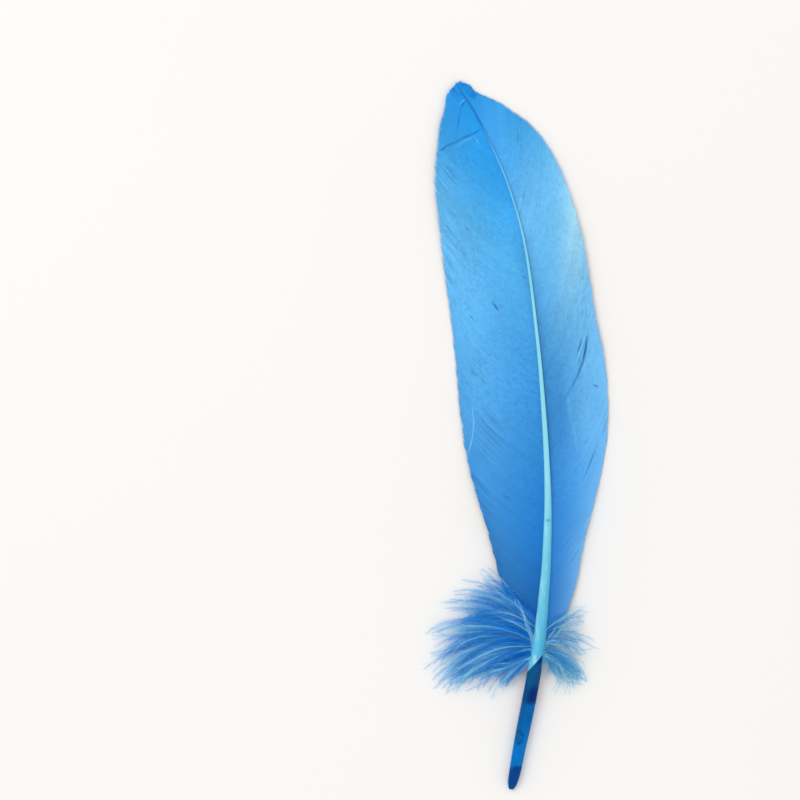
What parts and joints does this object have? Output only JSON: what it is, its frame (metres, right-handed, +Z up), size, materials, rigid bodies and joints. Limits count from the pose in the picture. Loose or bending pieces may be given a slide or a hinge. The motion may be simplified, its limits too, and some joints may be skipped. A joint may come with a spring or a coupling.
{
  "type": "goose quill feather",
  "caption": "Dyed sky blue goose quill feather lying convex side up: tapering shaft, a wide and a narrow vane, and down at their foot.",
  "frame": {"origin": "centre of the feather's outline in plan, on the surface that it lies on", "axes": "+Y from the quill's end towards the tip, +X towards the narrow vane, +Z up out of the convex side"},
  "size_m": [0.047, 0.1768, 0.0083],
  "materials": {
    "vane": "soft matte feather vane with a faint sheen along its barbs, dyed sky blue",
    "shaft": "smooth horn with a low gloss, dyed pale turquoise",
    "quill": "smooth translucent horn, dyed deep blue in blotches",
    "down": "fine soft down, dyed sky blue"
  },
  "bodies": {
    "root": {"feather": "vane"}
  },
  "joints": []
}
